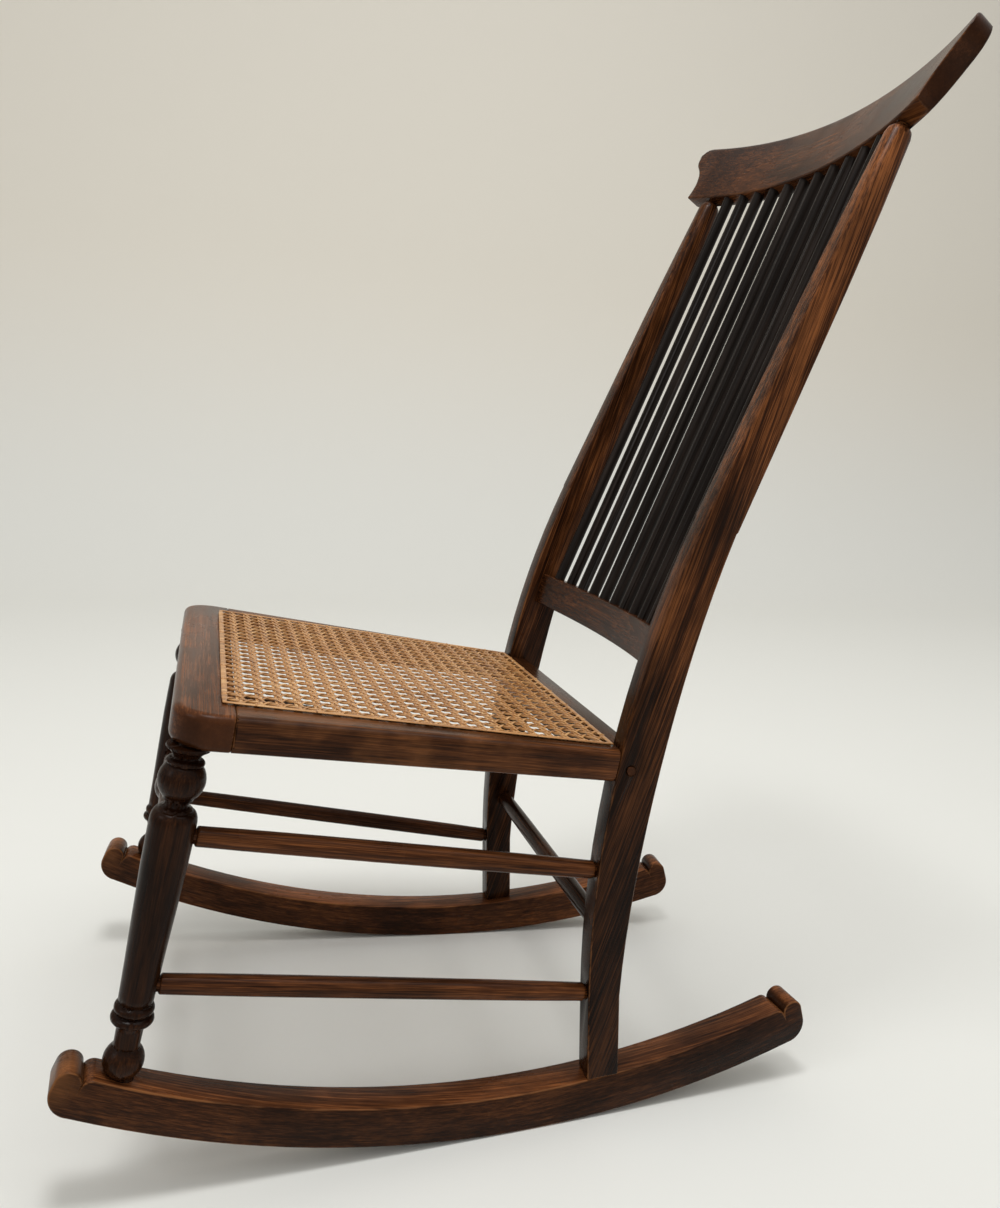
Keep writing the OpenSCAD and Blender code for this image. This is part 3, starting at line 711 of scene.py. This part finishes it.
def trim_to_holes(piece, layout):
    """Cuts a flat weave off at the line of holes."""
    only(piece)
    bpy.ops.object.mode_set(mode="EDIT")
    for (x0, y0), (x1, y1) in layout.sides():
        outward = Vector((y1 - y0, x0 - x1, 0)).normalized()
        bpy.ops.mesh.select_all(action="SELECT")
        bpy.ops.mesh.bisect(plane_co=(x0, y0, 0), plane_no=outward, clear_outer=True)
    bpy.ops.object.mode_set(mode="OBJECT")


def ribbon(name, xs, zs, width):
    """A flat strand along X through the given heights, made from a subdivided plane."""
    bpy.ops.object.select_all(action="DESELECT")
    bpy.ops.mesh.primitive_grid_add(x_subdivisions=len(xs) - 1, y_subdivisions=1, size=1)
    strand = bpy.context.object
    strand.name = name
    verts = sorted(strand.data.vertices, key=lambda v: (round(v.co.y, 4), v.co.x))
    for row, side in ((verts[: len(xs)], -0.5), (verts[len(xs) :], 0.5)):
        for v, x, z in zip(row, xs, zs):
            v.co = (x, side * width, z)
    return strand


def repeat(piece, count, offset):
    """Copies a strand in a row with an applied Array."""
    apply_modifier(
        piece,
        "Row",
        "ARRAY",
        count=count,
        use_relative_offset=False,
        use_constant_offset=True,
        constant_offset_displace=offset,
    )


def join(pieces, name):
    """Makes several pieces one."""
    bpy.ops.object.select_all(action="DESELECT")
    for piece in pieces:
        piece.select_set(True)
    bpy.context.view_layer.objects.active = pieces[0]
    bpy.ops.object.join()
    pieces[0].name = name
    return pieces[0]


def lay_on_seat(piece, layout, thickness):
    """Thickens a flat weave and lays it on the seat, with its place in its mesh."""
    apply_modifier(piece, "Peel", "SOLIDIFY", thickness=thickness, offset=0)
    piece.data.transform(layout.place)
    piece.data.update()
    smooth(piece, CANE_SMOOTH)


def woven_pairs(name, layout, crosswise):
    """Pairs of strands one way, woven plain with the pairs the other way."""
    cane = bpy.context.scene.chair_cane
    pitch = cane.pitch
    apart = cane.strand * PAIR_SPREAD
    swing = cane.thickness * PAIR_SWING
    reach, span = (layout.front, layout.half) if crosswise else (layout.half, layout.front)
    steps = math.ceil((reach + pitch) / pitch)
    rows = math.ceil((span + pitch) / pitch)
    wave = (
        (-apart - PAIR_EASE, 0.8),
        (-apart, 1),
        (0, 0),
        (apart, -1),
        (apart + PAIR_EASE, -0.8),
        (pitch / 2, 0),
    )
    made = []
    for strand in (-1, 1):
        over = -strand if crosswise else strand
        xs = [step * pitch + x for step in range(-steps, steps + 1) for x, _ in wave]
        zs = [PANEL_THICKNESS / 2 + height * swing * over for _, height in wave]
        one = ribbon(name, xs, zs * (2 * steps + 1), cane.strand)
        first = -rows * pitch + strand * apart
        if crosswise:
            one.data.transform(Matrix.Translation((0, first, 0)))
            repeat(one, 2 * rows + 1, (0, pitch, 0))
        else:
            one.data.transform(Matrix.Rotation(math.pi / 2, 4, "Z"))
            one.data.transform(Matrix.Translation((first, 0, 0)))
            repeat(one, 2 * rows + 1, (pitch, 0, 0))
        made.append(one)
    piece = join(made, name)
    trim_to_holes(piece, layout)
    return piece


def woven_diagonals(name, layout, way):
    """Single strands at 45 degrees, over one set of pairs and under the other."""
    cane = bpy.context.scene.chair_cane
    pitch = cane.pitch
    rows = math.ceil((layout.half + pitch) / pitch)
    count = math.ceil((layout.front + layout.half + pitch) / pitch)
    swing = cane.thickness * SLANT_SWING
    xs = []
    zs = []
    for step in range(-SLANT_STEPS * rows, SLANT_STEPS * rows + 1):
        xs.append(step / SLANT_STEPS * pitch * math.sqrt(2))
        zs.append(PANEL_THICKNESS / 2 + way * swing * math.cos(2 * math.pi * step / SLANT_STEPS))
    piece = ribbon(name, xs, zs, cane.strand)
    piece.data.transform(Matrix.Rotation(way * math.pi / 4, 4, "Z"))
    piece.data.transform(Matrix.Translation(((0.5 - count) * pitch, 0, 0)))
    repeat(piece, 2 * count, (pitch, 0, 0))
    trim_to_holes(piece, layout)
    return piece


def edging(layout, binder):
    """The flattened strip over the line of holes, before it is laid on the seat."""
    bpy.ops.object.select_all(action="DESELECT")
    bpy.ops.mesh.primitive_plane_add(size=2)
    strip = bpy.context.object
    strip.name = "cane_edging"
    for v in strip.data.vertices:
        half_width = layout.rear if v.co.y > 0 else layout.front
        v.co = (v.co.x * half_width, v.co.y * layout.half, PANEL_THICKNESS)
    only(strip)
    bpy.ops.object.mode_set(mode="EDIT")
    bpy.ops.mesh.select_all(action="SELECT")
    bpy.ops.mesh.delete(type="ONLY_FACE")
    bpy.ops.mesh.select_all(action="SELECT")
    bpy.ops.mesh.subdivide(number_cuts=STRIP_CUTS)
    bpy.ops.object.mode_set(mode="OBJECT")
    bpy.ops.object.convert(target="CURVE")
    strip = bpy.context.object
    strip.data.dimensions = "3D"
    strip.data.bevel_depth = binder / 2
    strip.data.bevel_resolution = 3
    only(strip)
    bpy.ops.object.convert(target="MESH")
    strip = bpy.context.object
    for v in strip.data.vertices:
        v.co.z = PANEL_THICKNESS + (v.co.z - PANEL_THICKNESS) * STRIP_FLAT
    return strip


def edge_ties(layout, cane):
    """Ties across the strip, evenly spaced along each side, before they are laid on the seat."""
    bpy.ops.object.select_all(action="DESELECT")
    bpy.ops.mesh.primitive_uv_sphere_add(segments=8, ring_count=6, radius=1)
    tie = bpy.context.object
    tie.data.transform(Matrix.Diagonal((TIE_RADIUS, cane.binder * TIE_REACH, TIE_RADIUS, 1)))
    ties = []
    for (x0, y0), (x1, y1) in layout.sides():
        count = round(math.hypot(x1 - x0, y1 - y0) / cane.pitch / TIE_HOLES)
        turn = Matrix.Rotation(math.atan2(y1 - y0, x1 - x0), 4, "Z")
        for i in range(count):
            share = (i + 0.5) / count
            spot = (x0 + (x1 - x0) * share, y0 + (y1 - y0) * share, TIE_LEVEL)
            one = tie.copy()
            one.data = tie.data.copy()
            bpy.context.scene.collection.objects.link(one)
            one.data.transform(Matrix.Translation(spot) @ turn)
            ties.append(one)
    bpy.data.objects.remove(tie)
    return join(ties, "cane_ties")


# Operators


class CHAIR_OT_rockers(bpy.types.Operator):
    """Dress the two curved rockers"""

    bl_idname = "chair.rockers"
    bl_label = "Rockers"

    def execute(self, context):
        reach, bare = 0.034, 0.55
        bent = rested((0, 0, ROLL_RADIUS))
        # Top paints the rockers' upper faces lighter: partly dust, partly painted light from above
        look = {"bent": bent, "figure": 0.7, "rub": 1.2, "top": 1.7}
        for side, tone, seed in (("left", 0.78, 0.3), ("right", 1.15, 2.1)):
            node = side + "_rocker"
            handled = self.scroll_front(node), reach, bare
            sawn(node, "rocker_" + side, (0, 1, 0), handled=handled, tone=tone, seed=seed, **look)
        return {"FINISHED"}

    def scroll_front(self, node):
        """The place on the front scroll that hands and feet have rubbed light."""
        scroll_reach, inset, drop = 0.03, 0.004, 0.006
        points = [v.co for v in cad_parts[node].data.vertices]
        foremost = min(p.y for p in points)
        scroll = [p for p in points if p.y < foremost + scroll_reach]
        middle = sum(p.x for p in scroll) / len(scroll)
        return Vector((middle, foremost + inset, max(p.z for p in scroll) - drop))


class CHAIR_OT_front_legs(bpy.types.Operator):
    """Dress the two turned front legs"""

    bl_idname = "chair.front_legs"
    bl_label = "Front legs"

    def execute(self, context):
        for side, seed in (("left", 4.2), ("right", 5.9)):
            node = side + "_front_leg"
            turned(node, "leg_" + side, middle_line(node), tone=0.45, figure=0.6, seed=seed)
        return {"FINISHED"}


class CHAIR_OT_back_posts(bpy.types.Operator):
    """Dress the two curved back posts"""

    bl_idname = "chair.back_posts"
    bl_label = "Back posts"

    def execute(self, context):
        # The posts' tones run from low down to high up: painted light, the upper posts painted
        # lighter as if lit more from above
        for side, tone, seed in (("left", (0.42, 1.6), 7.7), ("right", (0.5, 1.2), 9.1)):
            node = side + "_back_post"
            sawn(node, "post_" + side, middle_line(node), tone=tone, figure=1.15, seed=seed)
        return {"FINISHED"}


class CHAIR_OT_seat_frame(bpy.types.Operator):
    """Dress the seat's four rails and the pegs that lock it to the posts"""

    bl_idname = "chair.seat_frame"
    bl_label = "Seat frame"

    def execute(self, context):
        across = (1, 0, 0)
        reach, bare = 0.19, 0.38
        # Top paints the front rail's upper face a little lighter: partly dust, partly painted light
        # from above
        front = {"tone": 1.7, "seed": 11.3, "rub": 0.7, "figure": 0.5, "top": 0.2}
        sawn("front_seat_rail", "seat_rail_front", across, **front)
        for side, tone, seed in (("left", 1.7, 12.8), ("right", 1.5, 14.1)):
            node = side + "_seat_rail"
            handled = self.hand_hold(node, side), reach, bare
            look = {"tone": tone, "seed": seed, "rub": 0.7, "handled": handled}
            sawn(node, "seat_rail_" + side, middle_line(node), **look)
        sawn("rear_seat_rail", "seat_rail_rear", across, tone=0.8, seed=15.6)
        turned("seat_pegs", "pegs", across, slot="dark_wood", tone=1.3, seed=1.0)
        return {"FINISHED"}

    def hand_hold(self, node, side):
        """The place on a side rail's outer edge that hands have rubbed light."""
        low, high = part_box(node)
        share = 0.35
        outer = high.x if side == "left" else low.x
        return Vector((outer, low.y + (high.y - low.y) * share, high.z))


class CHAIR_OT_cane_seat(bpy.types.Operator):
    """Weave the cane seat and bind its edge"""

    bl_idname = "chair.cane_seat"
    bl_label = "Cane seat"

    def execute(self, context):
        cane = context.scene.chair_cane
        layout = CaneLayout(cane.binder)
        parts = (
            (woven_pairs("cane_lengthwise", layout, False), (0, 1, 0), 0.0),
            (woven_pairs("cane_crosswise", layout, True), (1, 0, 0), 1.7),
            (woven_diagonals("cane_slant_left", layout, 1), (1, 1, 0), 3.1),
            (woven_diagonals("cane_slant_right", layout, -1), (1, -1, 0), 4.4),
        )
        for piece, along, seed in parts:
            lay_on_seat(piece, layout, cane.thickness)
            settle(piece, aged_cane(piece.name + "_finish", along, seed), "cane")
        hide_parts("cane_panel")
        self.bind(layout, cane)
        return {"FINISHED"}

    def bind(self, layout, cane):
        """The strip over the holes and its ties."""
        strip = edging(layout, cane.binder)
        ties = edge_ties(layout, cane)
        for piece in (strip, ties):
            piece.data.transform(layout.place)
            only(piece)
            bpy.ops.object.shade_smooth()
        settle(strip, aged_cane("cane_edging_finish", (0, 1, 0), 6.2), "cane", "cane_binder")
        settle(ties, aged_cane("cane_ties_finish", (1, 0.3, 0), 7.9), "cane")


class CHAIR_OT_back_rails(bpy.types.Operator):
    """Dress the bowed crest rail and the lower back rail"""

    bl_idname = "chair.back_rails"
    bl_label = "Back rails"

    def execute(self, context):
        across = (1, 0, 0)
        sawn("crest_rail", "rail_crest", across, tone=1.1, seed=17.2, rub=0.6, figure=0.7)
        sawn("lower_back_rail", "rail_lower", across, tone=1.0, seed=18.4, rub=0.6)
        return {"FINISHED"}


class CHAIR_OT_spindles(bpy.types.Operator):
    """Dress the slim dark spindles of the back"""

    bl_idname = "chair.spindles"
    bl_label = "Spindles"

    def execute(self, context):
        count = sum(name.startswith("spindle_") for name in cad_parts)
        for i in range(count):
            node = f"spindle_{i + 1}"
            along = middle_line(node)
            spindle = turned(node, "back_" + node, along, dark_stain, "dark_wood", seed=20.0 + i)
            self.sink_shoulders(spindle, along)
        return {"FINISHED"}

    def sink_shoulders(self, spindle, along):
        """Runs a spindle's full width into the rails, so that no neck shows above its tenons."""
        points = spindle.data.vertices
        reach = [v.co.dot(along) for v in points]
        low = min(reach) + SPINDLE_TENON / 2
        high = max(reach) - SPINDLE_TENON / 2
        for v, t in zip(points, reach):
            if low < t < high:
                v.co += along * SHOULDER_SINK * (1 if t > (low + high) / 2 else -1)


class CHAIR_OT_stretchers(bpy.types.Operator):
    """Dress the stretchers between the legs"""

    bl_idname = "chair.stretchers"
    bl_label = "Stretchers"

    def execute(self, context):
        looks = {
            "left_upper_stretcher": (1.3, 33.0),
            "right_upper_stretcher": (0.8, 34.5),
            "left_lower_stretcher": (1.6, 36.0),
            "right_lower_stretcher": (0.9, 37.5),
            "front_stretcher": (0.7, 39.0),
            "rear_stretcher": (0.7, 40.5),
        }
        for node, (tone, seed) in looks.items():
            turned(node, "rod_" + node, middle_line(node), tone=tone, seed=seed)
        return {"FINISHED"}


class CHAIR_OT_stage(bpy.types.Operator):
    """Make the floor with its curved backdrop, the lamps and the camera"""

    bl_idname = "chair.stage"
    bl_label = "Stage"

    def execute(self, context):
        stage = context.scene.chair_stage
        self.sweep(stage)
        self.room(context, stage)
        self.lamps(context, stage)
        self.camera(context, stage)
        context.scene.view_settings.view_transform = "Standard"
        return {"FINISHED"}

    def sweep(self, stage):
        """A pale floor that curves up into a backdrop behind the chair, as the camera sees it."""
        near, far, bend, top, width = 7.0, -2.4, 1.4, 4.2, 16.0
        steps = 37
        outline = [(near, 0.0), (far, 0.0)]
        for i in range(1, steps + 1):
            a = math.pi / 2 * i / steps
            outline.append((far - bend * math.sin(a), bend * (1 - math.cos(a))))
        outline.append((far - bend, top))
        bpy.ops.object.select_all(action="DESELECT")
        bpy.ops.mesh.primitive_grid_add(x_subdivisions=len(outline) - 1, y_subdivisions=1, size=1)
        floor = bpy.context.object
        floor.name = "floor"
        ranks = sorted({round(v.co.x, 4) for v in floor.data.vertices}, reverse=True)
        for v in floor.data.vertices:
            x, z = outline[ranks.index(round(v.co.x, 4))]
            v.co = (x, width * v.co.y, z)
        only(floor)
        bpy.ops.object.shade_smooth()
        finish, shader, place, _ = new_finish("floor_finish", (0, 0, 1))
        tones = place.axis(0).step(0.0, bend).mix(stage.floor, stage.backdrop)
        feed(shader, Base_Color=tones, Roughness=0.9, Specular_IOR_Level=0.2)
        floor.data.materials.append(finish)

    def room(self, context, stage):
        """Soft light from all round, a little stronger from above."""
        world = bpy.data.worlds.new("room")
        context.scene.world = world
        world.use_nodes = True
        rise = Tone(world.node_tree, None).node("ShaderNodeTexCoord").axis(2)
        light = (rise.step(-0.1, 0.9) * 0.4 + 0.6) * stage.room
        feed(world.node_tree.nodes["Background"], Color=(1.0, 0.985, 0.955), Strength=light)

    def lamps(self, context, stage):
        """The lamp overhead, a weak one in front and one for the backdrop."""
        for name, spot, aim, size, power in (
            ("overhead", (0.5, -0.3, 2.6), (-0.2, 0, 0.2), 0.5, stage.lamp),
            ("front", (0.9, -2.2, 2.0), (-0.2, 0, 0.2), 0.6, stage.lamp * 0.3),
            ("backdrop", (0.2, 0.9, 3.6), (-3.4, 0.6, 0.9), 2.2, stage.lamp * 2.0),
        ):
            data = bpy.data.lights.new(name, "AREA")
            data.energy = power
            data.size = size
            lamp = bpy.data.objects.new(name, data)
            lamp.location = spot
            lamp.rotation_euler = (Vector(aim) - Vector(spot)).to_track_quat("-Z", "Y").to_euler()
            context.scene.collection.objects.link(lamp)

    def camera(self, context, stage):
        """The photograph's viewpoint, moved with the chair to its place of rest."""
        data = bpy.data.cameras.new("viewpoint")
        data.lens = stage.lens
        data.sensor_width = 36
        data.shift_y = VIEW_SHIFT
        camera = bpy.data.objects.new("viewpoint", data)
        level = Euler([math.radians(angle) for angle in VIEW_TURN]).to_matrix()
        camera.rotation_euler = (Matrix.Rotation(REST_TILT, 3, "X") @ level).to_euler()
        camera.location = rested(VIEW_SPOT)
        context.scene.collection.objects.link(camera)
        context.scene.camera = camera


class CHAIR_PT_panel(bpy.types.Panel):
    """Buttons for each group of pieces"""

    bl_idname = "CHAIR_PT_panel"
    bl_label = "Rocking chair"
    bl_space_type = "VIEW_3D"
    bl_region_type = "UI"
    bl_category = "Chair"

    def draw(self, context):
        scene = context.scene
        for group in (scene.chair_wood, scene.chair_cane, scene.chair_stage):
            for name in group.__annotations__:
                self.layout.prop(group, name)
        for operator in OPERATORS:
            self.layout.operator(operator.bl_idname)


SETTINGS = {"chair_wood": WoodSettings, "chair_cane": CaneSettings, "chair_stage": StageSettings}
OPERATORS = (
    CHAIR_OT_rockers,
    CHAIR_OT_front_legs,
    CHAIR_OT_back_posts,
    CHAIR_OT_seat_frame,
    CHAIR_OT_cane_seat,
    CHAIR_OT_back_rails,
    CHAIR_OT_spindles,
    CHAIR_OT_stretchers,
    CHAIR_OT_stage,
)


def register():
    """Registers the settings, the operators and the panel."""
    for made in (*SETTINGS.values(), *OPERATORS, CHAIR_PT_panel):
        bpy.utils.register_class(made)
    for name, group in SETTINGS.items():
        setattr(bpy.types.Scene, name, bpy.props.PointerProperty(type=group))


def unregister():
    """Removes what register() added."""
    for name in SETTINGS:
        delattr(bpy.types.Scene, name)
    for made in reversed((*SETTINGS.values(), *OPERATORS, CHAIR_PT_panel)):
        bpy.utils.unregister_class(made)


def main():
    """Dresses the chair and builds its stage."""
    register()
    bpy.ops.chair.rockers()
    bpy.ops.chair.front_legs()
    bpy.ops.chair.back_posts()
    bpy.ops.chair.seat_frame()
    bpy.ops.chair.cane_seat()
    bpy.ops.chair.back_rails()
    bpy.ops.chair.spindles()
    bpy.ops.chair.stretchers()
    bpy.ops.chair.stage()


if __name__ == "__main__":
    main()
